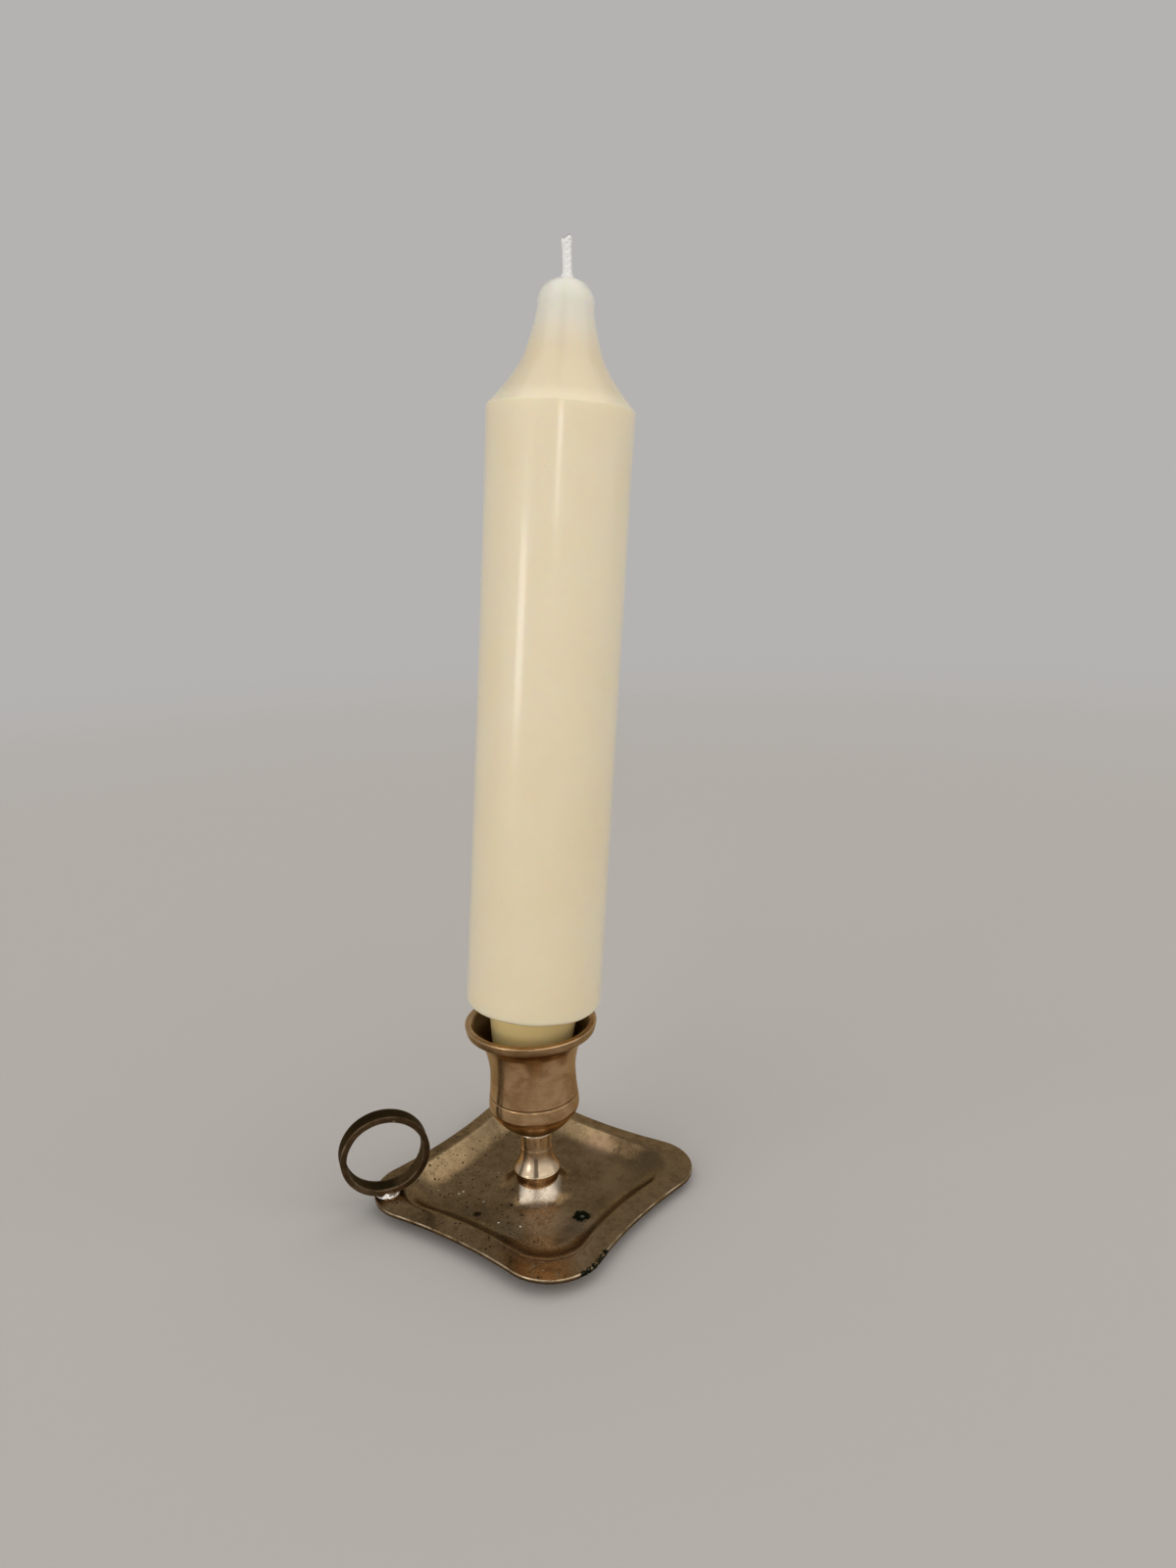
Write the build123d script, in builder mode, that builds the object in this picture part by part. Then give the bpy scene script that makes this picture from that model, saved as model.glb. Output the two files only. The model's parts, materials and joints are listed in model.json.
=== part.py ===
from build123d import *
from math import sqrt
import os

# A brass chamberstick with a finger loop, holding a stout candle with a tapered foot.
# Millimetres, +Z up. The origin is where the stem's axis meets the table.
# The tray's corners lie on the X and Y axes, and the finger ring stands on the -X corner.

# Shared values
overrun = 1.0
thread_clearance = 0.1
edge_rounding = 0.35

# Drip tray
tray_corner_reach = 47.8
tray_side_reach = 36.2
tray_corner_radius = 15.2
tray_metal = 1.2
rim_edge_height = 4.4
rim_rise = 0.3
rim_width = 6.3
dish_wall_width = 9.0
dish_wall_shares = [(0.0, 0.0), (0.24, 0.29), (0.56, 0.75), (0.82, 0.96), (1.0, 1.0)]
dome_height = 3.15
dome_radius = 12.6
dome_flat_radius = 6.3
dome_shares = [(0.62, 0.743), (0.14, 0.095)]

# Stem, turned from bar: foot band, flared neck and collar
foot_radius = 6.83
foot_base_radius = 6.25
foot_band_height = 3.65
neck_radius = 4.6
neck_height = 10.55
neck_pinch = 0.3
neck_top_radius = 4.95
stem_height = 16.55
collar_radius = 5.6
collar_height = 0.8
stud_radius = 2.4
stud_length = 4.4

# Candle socket, a turned cup with a flared lip
socket_height = 35.0
bore_radius = 11.45
throat_depth = 11.5
throat_slope_share = 0.25
bore_floor_metal = 0.9
bore_floor_rounding = 3.0
socket_base_radius = 6.0
bowl_knee_shares = (0.62, 0.46)
bulge_height = 8.6
bulge_wall = 1.8
groove_height = 12.2
groove_wall = 1.5
groove_depth = 0.3
groove_width = 0.5
waist_depth = 15.5
waist_wall = 1.05
flare_depth = 7.0
flare_wall = 2.55
flare_slope_share = 0.4
lip_radius = 19.0
lip_band_height = 2.7
lip_band_taper = 0.5
lip_face_width = 1.8

# Fixing screw, a slotted screw that holds the stem to the tray from below
screw_radius = 1.95
screw_length = 7.0
screw_hole_clearance = 0.2
screw_head_radius = 3.8
screw_head_height = 2.0
screw_slot_width = 0.9
screw_slot_depth = 0.9

# Finger ring, a flat strip bent round and soldered to the rim
ring_outer_radius = 12.9
ring_metal = 1.85
ring_width = 5.2
ring_inset = 3.5
ring_twist = 10.0
solder_gap = 0.4
solder_length = 6.8
solder_spread = 1.05
solder_height = 1.9
solder_draft = 0.7

# Candle
candle_radius = 19.0
candle_body_length = 163.6
candle_foot_rounding = 1.8
candle_lean = 5.2
candle_lean_heading = 18.4
candle_seat_height = 16.8
peg_length = 25.0
peg_taper = 2.95
peg_clearance = 0.38
peg_tip_rounding = 1.5
shoulder_rounding = 0.9
bell_height = 24.6
bell_neck_radius = 7.15
bell_shares = [(0.53, 0.26), (0.2, 0.56)]
dome_top_height = 6.6

# Wick
wick_radius = 1.45
wick_clearance = 0.05
wick_show = 10.9
wick_end_rounding = 0.5

# Levels above the table
floor_level = tray_metal
seat_level = floor_level + dome_height
rim_ridge_level = rim_edge_height + rim_rise
socket_level = seat_level + stem_height
bore_floor = socket_level + stud_length + thread_clearance + bore_floor_metal
lip_level = socket_level + socket_height
throat_level = lip_level - throat_depth


def tray_side_radius():
    """Radius of a side's hollow arc, which runs tangent into the corners."""
    centre = tray_corner_reach - tray_corner_radius
    rise = centre**2 + tray_side_reach**2 - tray_corner_radius**2 - sqrt(2) * centre * tray_side_reach
    return rise / (sqrt(2) * centre + 2 * tray_corner_radius - 2 * tray_side_reach)


def tray_outline(inset):
    """The tray's outline, drawn smaller by an inset measured at the middle of a side."""
    drawn_share = 1 - inset / tray_side_reach
    side_radius = tray_side_radius()
    corner_centre = Vector(tray_corner_reach - tray_corner_radius, 0)
    side_centre = Vector(tray_side_reach + side_radius, 0).rotate(Axis.Z, 45)
    corner_share = tray_corner_radius / (tray_corner_radius + side_radius)
    join = (corner_centre + (side_centre - corner_centre) * corner_share) * drawn_share
    tip = Vector(tray_corner_reach * drawn_share, 0)
    side_middle = Vector(tray_side_reach * drawn_share, 0).rotate(Axis.Z, 45)
    with BuildLine() as outline:
        for quarter in range(4):
            turned = 90 * quarter
            before = Vector(join.X, -join.Y).rotate(Axis.Z, turned)
            after = join.rotate(Axis.Z, turned)
            following = Vector(join.Y, join.X).rotate(Axis.Z, turned)
            ThreePointArc(before, tip.rotate(Axis.Z, turned), after)
            ThreePointArc(after, side_middle.rotate(Axis.Z, turned), following)
    return outline.line


# The dished wall: insets and levels from the ridge of the rim down to the floor
dish_depth = rim_ridge_level - floor_level
wall_insets = [rim_width + dish_wall_width * across for across, down in dish_wall_shares]
wall_levels = [rim_ridge_level - dish_depth * down for across, down in dish_wall_shares]

# The dome's slope, from its foot up to its flat: points at shares of its run and of its drop
dome_slope = [
    (dome_flat_radius + (dome_radius - dome_flat_radius) * across, seat_level - dome_height * down)
    for across, down in dome_shares
]

# Drip tray
with BuildPart() as drip_tray:
    with BuildSketch(Plane.XY.offset(rim_edge_height - tray_metal)):
        with BuildLine():
            add(tray_outline(0))
        make_face()
    extrude(amount=tray_metal)
    for inset, level in ((0, rim_edge_height), (rim_width, rim_ridge_level)):
        with BuildSketch(Plane.XY.offset(level)):
            with BuildLine():
                add(tray_outline(inset))
            make_face()
    loft(ruled=True)
    level_edges = drip_tray.edges().filter_by(Plane.XY).group_by(Axis.Z)
    fillet(level_edges[0] + level_edges[1], radius=edge_rounding)
    for inset, level in zip(wall_insets, wall_levels):
        with BuildSketch(Plane.XY.offset(level - tray_metal)):
            with BuildLine():
                add(tray_outline(inset))
            make_face()
    loft()
    for inset, level in zip(wall_insets, wall_levels):
        with BuildSketch(Plane.XY.offset(level)):
            with BuildLine():
                add(tray_outline(inset))
            make_face()
    loft(mode=Mode.SUBTRACT)
    for lift, base, mode in ((0, 0, Mode.ADD), (-tray_metal, -overrun, Mode.SUBTRACT)):
        with BuildSketch(Plane.XZ):
            with BuildLine():
                Polyline(
                    (dome_flat_radius, seat_level + lift),
                    (0, seat_level + lift),
                    (0, base),
                    (dome_radius, base),
                    (dome_radius, floor_level + lift),
                )
                Spline(
                    (dome_radius, floor_level + lift),
                    *[(radius, level + lift) for radius, level in dome_slope],
                    (dome_flat_radius, seat_level + lift),
                    tangents=((-1, 0), (-1, 0)),
                )
            make_face()
        revolve(axis=Axis.Z, mode=mode)
    with BuildSketch(Plane.XY.offset(seat_level + overrun)):
        Circle(screw_radius + screw_hole_clearance)
    extrude(amount=-seat_level - 2 * overrun, mode=Mode.SUBTRACT)
drip_tray.part.label = "drip_tray"


# Stem: tapered foot band, flare, neck, collar, and the stud that screws into the socket
with BuildPart() as stem:
    band_top = (foot_radius, seat_level + foot_band_height)
    neck_base = (neck_radius, seat_level + neck_height)
    neck_end = (neck_top_radius, socket_level - collar_height)
    neck_middle = (neck_radius - neck_pinch / 2, (neck_base[1] + neck_end[1]) / 2)
    with BuildSketch(Plane.XZ):
        with BuildLine():
            Polyline((0, seat_level), (foot_base_radius, seat_level), band_top)
            TangentArc(neck_base, band_top, tangent=(0, -1))
            ThreePointArc(neck_base, neck_middle, neck_end)
            Polyline(
                neck_end,
                (collar_radius, socket_level - collar_height),
                (collar_radius, socket_level),
                (stud_radius, socket_level),
                (stud_radius, socket_level + stud_length),
                (0, socket_level + stud_length),
                (0, seat_level),
            )
        make_face()
    revolve(axis=Axis.Z)
    widest_edges = stem.edges().filter_by(Plane.XY).sort_by(SortBy.RADIUS)[-2:]
    fillet(widest_edges.sort_by(Axis.Z)[-1], radius=edge_rounding)
    with BuildSketch(Plane.XY.offset(seat_level - overrun)):
        Circle(screw_radius + thread_clearance)
    extrude(amount=overrun + screw_length, mode=Mode.SUBTRACT)
stem.part.label = "stem"

# Candle socket: rounded bowl, scribed groove, waist and flared lip over a plain bore
with BuildPart() as candle_socket:
    bulge = (bore_radius + bulge_wall, socket_level + bulge_height)
    groove_mouth = (bore_radius + groove_wall, socket_level + groove_height)
    waist = (bore_radius + waist_wall, lip_level - waist_depth)
    flare_start = (bore_radius + flare_wall, lip_level - flare_depth)
    band_bottom = (lip_radius - lip_band_taper, lip_level - lip_band_height)
    knee_radius_share, knee_height_share = bowl_knee_shares
    knee = (
        socket_base_radius + (bulge[0] - socket_base_radius) * knee_radius_share,
        socket_level + bulge_height * knee_height_share,
    )
    with BuildSketch(Plane.XZ):
        with BuildLine():
            Line((0, socket_level), (socket_base_radius, socket_level))
            Spline((socket_base_radius, socket_level), knee, bulge, tangents=((1, 1), (0, 1)))
            Spline(
                bulge,
                groove_mouth,
                waist,
                flare_start,
                band_bottom,
                tangents=((0, 1), (1, flare_slope_share)),
            )
            Polyline(
                band_bottom,
                (lip_radius, lip_level),
                (0, lip_level),
                (0, socket_level),
            )
        make_face()
    revolve(axis=Axis.Z)
    lip_edge = candle_socket.edges().group_by(Axis.Z)[-1]
    fillet(lip_edge, radius=edge_rounding)
    with BuildSketch(Plane.XZ):
        lip_inner = (lip_radius - lip_face_width, lip_level)
        with BuildLine():
            Polyline((0, bore_floor), (bore_radius - bore_floor_rounding, bore_floor))
            TangentArc(
                (bore_radius - bore_floor_rounding, bore_floor),
                (bore_radius, bore_floor + bore_floor_rounding),
                tangent=(1, 0),
            )
            Line((bore_radius, bore_floor + bore_floor_rounding), (bore_radius, throat_level))
            TangentArc((bore_radius, throat_level), lip_inner, tangent=(throat_slope_share, 1))
            Polyline(
                lip_inner,
                (lip_inner[0], lip_inner[1] + overrun),
                (0, lip_inner[1] + overrun),
                (0, bore_floor),
            )
        make_face()
    revolve(axis=Axis.Z, mode=Mode.SUBTRACT)
    with BuildSketch(Plane.XY.offset(socket_level - overrun)):
        Circle(stud_radius + thread_clearance)
    extrude(amount=overrun + stud_length + thread_clearance, mode=Mode.SUBTRACT)
    with BuildSketch(Plane.XY.offset(groove_mouth[1] - groove_width / 2)):
        Circle(bulge[0] + overrun)
        Circle(groove_mouth[0] - groove_depth, mode=Mode.SUBTRACT)
    extrude(amount=groove_width, mode=Mode.SUBTRACT)
candle_socket.part.label = "candle_socket"

# Fixing screw, up through the tray's dome into the stem
with BuildPart() as fixing_screw:
    head_top = seat_level - tray_metal
    with BuildSketch(Plane.XY.offset(head_top - screw_head_height)):
        Circle(screw_head_radius)
    extrude(amount=screw_head_height)
    fillet(fixing_screw.edges().group_by(Axis.Z)[0], radius=edge_rounding)
    with BuildSketch(Plane.XY.offset(head_top)):
        Circle(screw_radius)
    extrude(amount=tray_metal + screw_length - thread_clearance)
    with BuildSketch(Plane.XY.offset(head_top - screw_head_height)):
        Rectangle(screw_head_radius * 2 + overrun, screw_slot_width)
    extrude(amount=screw_slot_depth, mode=Mode.SUBTRACT)
fixing_screw.part.label = "fixing_screw"

# Finger ring, standing on the rim's corner and turned a little out of line with it
ring_reach = tray_corner_reach - ring_inset
rim_corner_width = tray_corner_reach * rim_width / tray_side_reach
ring_foot_level = rim_edge_height + rim_rise * ring_inset / rim_corner_width
ring_level = ring_foot_level + solder_gap + ring_outer_radius
ring_heading = Vector(1, 0).rotate(Axis.Z, ring_twist)
ring_side = Vector(0, -1).rotate(Axis.Z, ring_twist)
with BuildPart() as finger_ring:
    with BuildSketch(Plane((-ring_reach, 0, ring_level), x_dir=ring_heading, z_dir=ring_side)):
        Circle(ring_outer_radius)
        Circle(ring_outer_radius - ring_metal, mode=Mode.SUBTRACT)
    extrude(amount=ring_width / 2, both=True)
    fillet(finger_ring.edges().filter_by(GeomType.CIRCLE), radius=edge_rounding / 2)
finger_ring.part.label = "finger_ring"

# Solder that fills the gap under the ring and runs out along its sides
with BuildPart() as ring_solder:
    solder_width = ring_width + 2 * solder_spread
    with BuildSketch(Plane((-ring_reach, 0, rim_edge_height), x_dir=ring_heading)):
        Ellipse(solder_length / 2, solder_width / 2)
    with BuildSketch(Plane((-ring_reach, 0, rim_edge_height + solder_height), x_dir=ring_heading)):
        Ellipse(solder_length / 2 - solder_draft, solder_width / 2 - solder_draft)
    loft(ruled=True)
    add(drip_tray.part, mode=Mode.SUBTRACT)
    add(finger_ring.part, mode=Mode.SUBTRACT)
ring_solder.part.label = "ring_solder"

# The candle leans in the socket about the middle of the socket's throat
lean_axis = Vector(0, 0, 1).rotate(Axis.Y, candle_lean).rotate(Axis.Z, candle_lean_heading)
lean_side = Vector(1, 0, 0).rotate(Axis.Y, candle_lean).rotate(Axis.Z, candle_lean_heading)
candle_foot = Vector(0, 0, throat_level) + lean_axis * candle_seat_height
candle_section = Plane(candle_foot, x_dir=lean_side, z_dir=lean_side.cross(lean_axis))
candle_axis = Axis(candle_foot, lean_axis)
peg_top_radius = bore_radius - peg_clearance + peg_taper * candle_seat_height / peg_length
peg_tip_radius = peg_top_radius - peg_taper
bell_top_height = candle_body_length + bell_height
candle_top_height = bell_top_height + dome_top_height

# Candle: tapered peg, straight body, hollow bell and domed top, with a hole for the wick
with BuildPart() as candle:
    bell_points = [
        (
            bell_neck_radius + (candle_radius - bell_neck_radius) * radius_share,
            candle_body_length + bell_height * height_share,
        )
        for radius_share, height_share in bell_shares
    ]
    with BuildSketch(candle_section):
        with BuildLine():
            Polyline(
                (0, -peg_length),
                (peg_tip_radius, -peg_length),
                (peg_top_radius, 0),
                (candle_radius, 0),
                (candle_radius, candle_body_length),
            )
            Spline(
                (candle_radius, candle_body_length),
                *bell_points,
                (bell_neck_radius, bell_top_height),
                tangents=((-1, 1), (0, 1)),
            )
            EllipticalCenterArc((0, bell_top_height), bell_neck_radius, dome_top_height, arc_size=90)
            Line((0, candle_top_height), (0, -peg_length))
        make_face()
    revolve(axis=candle_axis)
    round_edges = candle.edges().filter_by(GeomType.CIRCLE).sort_by(candle_axis)
    foot_edge, shoulder_edge = round_edges.sort_by(SortBy.RADIUS)[-2:].sort_by(candle_axis)
    fillet(round_edges[0], radius=peg_tip_rounding)
    fillet(foot_edge, radius=candle_foot_rounding)
    fillet(shoulder_edge, radius=shoulder_rounding)
    below_peg = candle_foot - lean_axis * (peg_length + overrun)
    with BuildSketch(Plane(below_peg, x_dir=lean_side, z_dir=lean_axis)):
        Circle(wick_radius + wick_clearance)
    extrude(amount=peg_length + candle_top_height + 2 * overrun, mode=Mode.SUBTRACT)
candle.part.label = "candle"

# Wick, right through the candle
with BuildPart() as wick:
    with BuildSketch(Plane(candle_foot - lean_axis * peg_length, x_dir=lean_side, z_dir=lean_axis)):
        Circle(wick_radius)
    extrude(amount=peg_length + candle_top_height + wick_show)
    fillet(wick.edges().sort_by(candle_axis)[-1], radius=wick_end_rounding)
wick.part.label = "wick"

os.makedirs("parts", exist_ok=True)
export_step(drip_tray.part, "parts/drip_tray.step")
export_step(stem.part, "parts/stem.step")
export_step(candle_socket.part, "parts/candle_socket.step")
export_step(fixing_screw.part, "parts/fixing_screw.step")
export_step(finger_ring.part, "parts/finger_ring.step")
export_step(ring_solder.part, "parts/ring_solder.step")
export_step(candle.part, "parts/candle.step")
export_step(wick.part, "parts/wick.step")
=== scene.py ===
import json
import random
from math import atan2, copysign, cos, degrees, pi, radians, sin, sqrt, tau

import bpy
from mathutils import Matrix, Vector, noise


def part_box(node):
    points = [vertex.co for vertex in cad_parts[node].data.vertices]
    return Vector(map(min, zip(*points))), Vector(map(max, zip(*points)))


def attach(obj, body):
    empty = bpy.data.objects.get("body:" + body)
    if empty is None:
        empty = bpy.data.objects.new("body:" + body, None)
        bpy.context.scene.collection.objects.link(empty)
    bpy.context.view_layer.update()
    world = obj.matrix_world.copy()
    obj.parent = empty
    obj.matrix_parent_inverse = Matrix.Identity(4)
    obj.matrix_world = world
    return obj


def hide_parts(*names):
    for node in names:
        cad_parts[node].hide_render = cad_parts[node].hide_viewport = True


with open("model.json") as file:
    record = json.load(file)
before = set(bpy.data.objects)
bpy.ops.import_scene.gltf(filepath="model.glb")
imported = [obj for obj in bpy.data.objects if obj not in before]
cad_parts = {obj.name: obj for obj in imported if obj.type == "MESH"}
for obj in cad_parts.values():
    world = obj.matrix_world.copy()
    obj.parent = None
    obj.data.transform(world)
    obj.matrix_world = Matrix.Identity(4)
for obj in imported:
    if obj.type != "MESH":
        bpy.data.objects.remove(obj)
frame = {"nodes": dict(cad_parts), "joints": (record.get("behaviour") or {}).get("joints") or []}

# A brass chamberstick with a finger loop and a stout candle, dressed for the camera.
# Sizes are in millimetres until a mesh is made. The frame and the scene are in metres.
mm = 0.001
scene = bpy.context.scene
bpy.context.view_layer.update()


def span(node):
    """Lowest and highest corner of a CAD node, in millimetres."""
    low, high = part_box(node)
    return low / mm, high / mm


# Places taken from the frame
tray_high = span("drip_tray")[1]
stem_low = span("stem")[0]
socket_low, socket_high = span("candle_socket")
ring_low, ring_high = span("finger_ring")
solder_low, solder_high = span("ring_solder")
lean_axis = Vector(frame["joints"][0]["axis"]).normalized()
seat_level = stem_low.z
socket_level = socket_low.z
lip_level = socket_high.z

# Drip tray
tray_corner_reach = tray_high.x
tray_side_reach = 36.4
tray_corner_radius = 14.6
tray_metal = 1.2
tray_hole_radius = 2.15
tray_columns = 480
tray_rows = 190
edge_rounding = 0.3
rim_edge_height = 4.4
rim_rise = 0.3
rim_width = 6.3
back_rim_width = 4.6
dish_wall_width = 9.0
dish_wall_bends = (0.12, 0.65)
front_bend_gain = 0.2
front_wall_shift = 0.6
dome_radius = 12.6
dome_flat_radius = 6.1
dome_bends = (0.05, 0.6)

# Bends of use in the tray, and the crust on its rim's edge between two angles in degrees
tray_tilt_shares = (-0.0172, -0.0156)
tray_wave = 0.12
tray_shift = -0.15
floor_gap = 0.02
crust_turns = (-81.5, -70.0)
crust_lump_height = 0.45

# Stem
foot_radius = 6.83
foot_base_radius = 6.25
foot_band_height = 3.65
foot_rounding = 0.3
neck_radius = 4.6
neck_height = 10.55
neck_top_radius = 4.95
collar_radius = 5.6
collar_height = 0.8
stem_place = Matrix.Translation((0.3, 0, 0))
stem_columns = 192
# Painted dark reflection down the front of the flare: its angle and half width
dark_reflection_turn = 261.3
dark_reflection_half_width = 0.45

# Candle socket
lip_radius = 19.0
lip_rounding = 0.5
lip_band_height = 2.6
lip_band_taper = 0.5
lip_face_width = 1.8
bore_radius = 11.45
throat_depth = 11.5
bore_floor_height = 5.4
bore_floor_rounding = 3.0
socket_base_radius = 6.0
knee_radius = 10.5
knee_height = 3.95
bulge_radius = 13.25
bulge_height = 8.6
groove_radius = 12.95
groove_height = 12.2
groove_depth = 0.35
groove_half_width = 0.28
waist_radius = 12.5
waist_depth = 15.5
flare_radius = 14.0
flare_depth = 7.0
socket_columns = 256

# Finger ring and its solder
ring_centre = Vector(((ring_low.x + ring_high.x) / 2, 0, (ring_low.z + ring_high.z) / 2))
ring_outer_radius = (ring_high.z - ring_low.z) / 2
ring_metal = 1.85
ring_width = 5.2
ring_twist = 10.0
ring_spread_shares = (1.003, 0.968)
ring_shift = 0.2
ring_lift = 0.42
ring_edge_rounding = 0.22
ring_columns = 240
solder_shift = 0.5
solder_growth = Vector((1.06, 1.1, 1.05))
solder_lump_share = 0.22

# Candle and wick
candle_radius = 19.0
candle_body_length = 163.6
candle_foot_rounding = 1.8
candle_seat_height = 16.8
candle_columns = 224
shoulder_rounding = 0.9
peg_length = 25.0
peg_top_radius = 13.05
peg_tip_radius = 10.1
peg_tip_rounding = 1.5
bell_height = 24.6
bell_neck_radius = 7.15
bell_shares = ((0.53, 0.26), (0.2, 0.56))
bell_slopes = ((-5.6, 5.2), (-4.6, 6.6), (-2.6, 8.6), (0.0, 10.0))
dome_top_height = 6.6
dome_top_fullness = 0.86
wax_swell = 0.2
shoulder_swell = 0.22
wick_radius = 1.45
wick_show = 10.9
wick_cut = 1.4
wick_bend = 0.85
wick_core_radius = 0.9
strand_count = 8
strand_radius = 0.48
strand_reach = 0.74
strand_twist = 0.95
hair_count = 26
hair_radius = 0.09
hair_length = 1.3

# The candle leans about its foot in the cup's throat
candle_foot = Vector((0, 0, lip_level - throat_depth)) + lean_axis * candle_seat_height
candle_place = Matrix.Translation(candle_foot) @ lean_axis.to_track_quat("Z", "Y").to_matrix().to_4x4()


# Steps and curves
def polar(reach, turn, height=0.0):
    """The point at a reach from the z axis, an angle round it and a height."""
    return Vector((reach * cos(turn), reach * sin(turn), height))


def smooth(share):
    """A smooth step from 0 to 1."""
    share = min(max(share, 0.0), 1.0)
    return share * share * (3 - 2 * share)


def rising(value, start, width):
    """A smooth step from 0 at start to 1 a width further on."""
    return smooth((value - start) / width)


def falling(value, start, width):
    """A smooth step from 1 at start to 0 a width further on."""
    return 1 - smooth((value - start) / width)


def ramped(share, bends):
    """A fall from 0 to 1 whose slope grows over the first bend, holds, and fades over the last."""
    share = min(max(share, 0.0), 1.0)
    first, last = bends
    whole = 1 - first / 2 - last / 2
    if share < first:
        return share**2 / (2 * first) / whole
    if share < 1 - last:
        return (share - first / 2) / whole
    return 1 - (1 - share) ** 2 / (2 * last) / whole


def hermite(start, end, start_slope, end_slope, steps):
    """Points after start on a smooth curve to end, leaving and arriving along the two slopes."""
    points = []
    for i in range(1, steps + 1):
        t = i / steps
        a = 2 * t**3 - 3 * t**2 + 1
        b = t**3 - 2 * t**2 + t
        c = 3 * t**2 - 2 * t**3
        d = t**3 - t**2
        points.append(
            tuple(a * start[k] + b * start_slope[k] + c * end[k] + d * end_slope[k] for k in range(2))
        )
    return points


def arc(centre, radius, start_angle, end_angle, steps):
    """Points of an arc, angles in degrees, with both ends."""
    turns = [radians(start_angle + (end_angle - start_angle) * i / steps) for i in range(steps + 1)]
    return [(centre[0] + radius * cos(a), centre[1] + radius * sin(a)) for a in turns]


def flare(start, end, steps):
    """Points after start on the arc that leaves straight up or down and ends further out."""
    out, rise = end[0] - start[0], end[1] - start[1]
    radius = (out**2 + rise**2) / (2 * out)
    sweep = atan2(abs(rise), radius - out)
    turns = [sweep * i / steps for i in range(1, steps + 1)]
    return [(start[0] + radius * (1 - cos(a)), start[1] + copysign(radius * sin(a), rise)) for a in turns]


def tray_reach(turn):
    """How far the tray's outline lies from the axis at an angle: round corners and hollow sides."""
    quarter = pi / 2
    off = abs((turn + quarter / 2) % quarter - quarter / 2)
    corner = tray_corner_reach - tray_corner_radius
    rise = corner**2 + tray_side_reach**2 - tray_corner_radius**2 - sqrt(2) * corner * tray_side_reach
    side_radius = rise / (sqrt(2) * corner + 2 * tray_corner_radius - 2 * tray_side_reach)
    side_distance = tray_side_reach + side_radius
    corner_share = tray_corner_radius / (tray_corner_radius + side_radius)
    join = Vector((corner, 0, 0)).lerp(polar(side_distance, quarter / 2), corner_share)
    if off <= atan2(join.y, join.x):
        return corner * cos(off) + sqrt(tray_corner_radius**2 - (corner * sin(off)) ** 2)
    beside = quarter / 2 - off
    hollow = sqrt(side_radius**2 - (side_distance * sin(beside)) ** 2)
    return side_distance * cos(beside) - hollow


# Objects
def new_object(name, data):
    """An object with its data, linked to the scene."""
    made = bpy.data.objects.new(name, data)
    scene.collection.objects.link(made)
    return made


def mesh_piece(name, points, faces, body, slot, replaced, material):
    """A shaded-smooth mesh from points in millimetres, riding on a body in place of its CAD node."""
    mesh = bpy.data.meshes.new(name)
    mesh.from_pydata([Vector(p) * mm for p in points], [], faces)
    mesh.validate()
    for polygon in mesh.polygons:
        polygon.use_smooth = True
    mesh.materials.append(material)
    piece = new_object(name, mesh)
    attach(piece, body)
    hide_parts(replaced)
    return piece


def grid_faces(rows, columns, closed_rows=False):
    """Quads of a grid whose columns go round. The rows go round too if closed."""
    faces = []
    for i in range(rows if closed_rows else rows - 1):
        low, high = i * columns, (i + 1) % rows * columns
        for j in range(columns):
            right = (j + 1) % columns
            faces.append((low + j, low + right, high + right, high + j))
    return faces


def around(columns):
    """The angles of a grid's columns."""
    return [tau * j / columns for j in range(columns)]


def turned_piece(name, profile, columns, place, *dressing, ripple=None):
    """A mesh piece from a profile of (radius, height) turned about Z, then set in place."""
    points = []
    for radius, height in profile:
        for turn in around(columns):
            point = polar(radius, turn, height)
            points.append(place @ (ripple(point) if ripple else point))
    return mesh_piece(name, points, grid_faces(len(profile), columns), *dressing)


def paint(piece, tones):
    """Stores the named tones of every point on the piece's mesh, for its material to read."""
    for name in tones[0]:
        attribute = piece.data.attributes.new(name, "FLOAT", "POINT")
        attribute.data.foreach_set("value", [tone[name] for tone in tones])


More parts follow.
